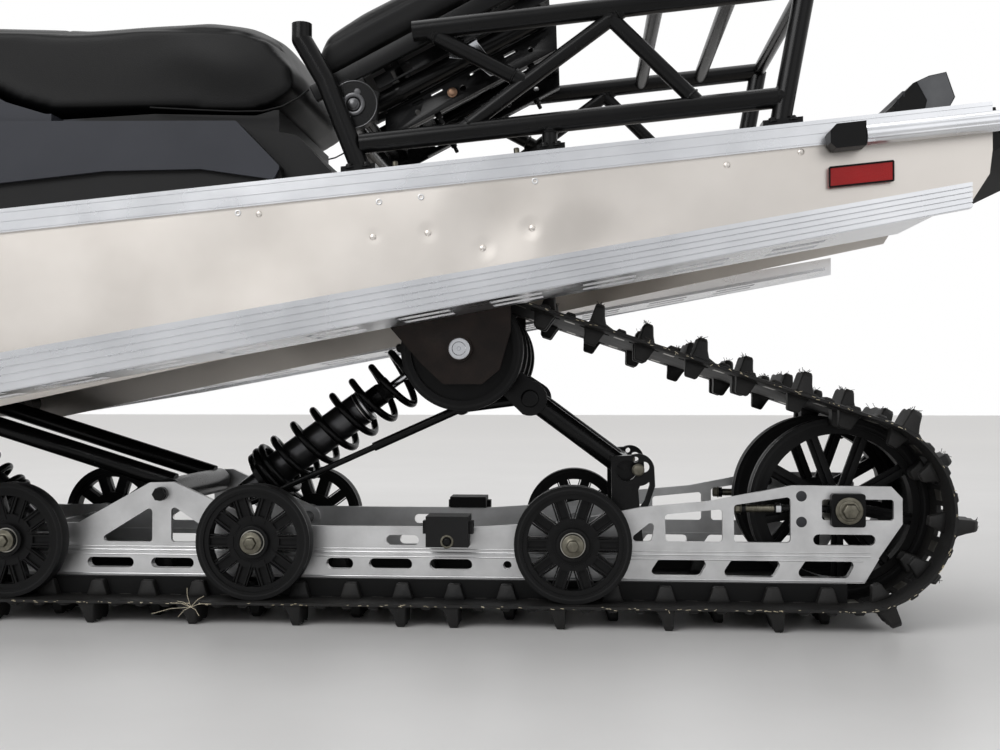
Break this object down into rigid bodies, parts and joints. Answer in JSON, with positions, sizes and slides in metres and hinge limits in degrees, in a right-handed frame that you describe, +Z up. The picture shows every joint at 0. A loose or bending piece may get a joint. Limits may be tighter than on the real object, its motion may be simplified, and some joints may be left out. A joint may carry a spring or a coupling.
{
  "type": "snowmobile",
  "caption": "Utility snowmobile with an aluminium tunnel, slide-rail track suspension, tubular rear rack and tilting rear seat.",
  "frame": {"origin": "middle of the bounding box on the floor", "axes": "+X to the rear, +Y to the vehicle's right, +Z up"},
  "size_m": [3.12, 1.12, 1.228],
  "materials": {
    "bare_aluminium": "satin",
    "bright_aluminium": "satin",
    "cast_aluminium": "satin",
    "black_paint": "satin",
    "black_plastic": "matte",
    "grey_plastic": "satin",
    "gloss_black": "gloss",
    "red_reflector": "gloss",
    "black_rubber": "matte",
    "track_rubber": "matte",
    "vinyl": "satin",
    "steel": "satin",
    "engine_metal": "satin",
    "clear_sheet": "gloss",
    "lamp_lens": "gloss"
  },
  "bodies": {
    "chassis": {"tunnel": "bare_aluminium", "corner_strips": "bright_aluminium", "running_boards": "bright_aluminium", "grab_bar": "bright_aluminium", "bar_end_caps": "black_plastic", "side_reflectors": "red_reflector", "snow_flap": "black_rubber", "tail_lamp": "gloss_black", "rear_rack": "black_paint", "seat_hinge_plates": "black_paint", "operator_seat": "vinyl", "seat_console": "grey_plastic", "slide_rails": "cast_aluminium", "slide_strips": "black_plastic", "skid_axles": "steel", "bogie_wheels": "black_plastic", "adjuster_blocks": "black_plastic", "rear_wheels": "black_plastic", "carrier_wheels": "black_plastic", "carrier_plates": "black_paint", "front_arm": "black_paint", "rear_arm": "black_paint", "rear_arm_bracket": "black_paint", "shock_absorbers": "black_paint", "coil_springs": "black_paint", "travel_rod": "black_paint", "bump_stops": "black_rubber", "track": "track_rubber", "drive_axle": "steel", "front_arms": "black_paint", "front_bumper": "black_paint", "engine": "engine_metal", "belly_pan": "black_plastic", "dash_console": "grey_plastic"},
    "hood": {"hood": "gloss_black", "headlamps": "lamp_lens", "windshield": "clear_sheet"},
    "steering": {"handlebar": "black_paint", "hand_grips": "black_rubber"},
    "left_steered_ski": {"left_spindle": "black_paint", "left_ski": "black_plastic"},
    "right_steered_ski": {"right_spindle": "black_paint", "right_ski": "black_plastic"},
    "rear_seat": {"rear_seat_frame": "black_paint", "rear_seat_cushion": "vinyl"}
  },
  "joints": [
    {"name": "left_ski_turn", "type": "hinge", "parent": "chassis", "child": "left_steered_ski", "pos_m": [-0.9, -0.485, 0.25], "axis": [0.342, 0, 0.9397], "range_deg": [-30, 30]},
    {"name": "right_ski_turn", "type": "hinge", "parent": "chassis", "child": "right_steered_ski", "pos_m": [-0.9, 0.485, 0.25], "axis": [0.342, 0, 0.9397], "range_deg": [-30, 30]},
    {"name": "handlebar_turn", "type": "hinge", "parent": "chassis", "child": "steering", "pos_m": [-0.408, 0, 0.85], "axis": [0.4067, 0, 0.9135], "range_deg": [-30, 30]},
    {"name": "hood_hinge", "type": "hinge", "parent": "chassis", "child": "hood", "pos_m": [-1.206, 0, 0.516], "axis": [0, 1, 0], "range_deg": [-70, 0]},
    {"name": "rear_seat_tilt", "type": "hinge", "parent": "chassis", "child": "rear_seat", "pos_m": [0.604, 0, 0.728], "axis": [0, 1, 0], "range_deg": [0, 20]}
  ],
  "couplings": [
    {"joint": "right_ski_turn", "follows": "left_ski_turn", "ratio": 1},
    {"joint": "handlebar_turn", "follows": "left_ski_turn", "ratio": 1}
  ]
}
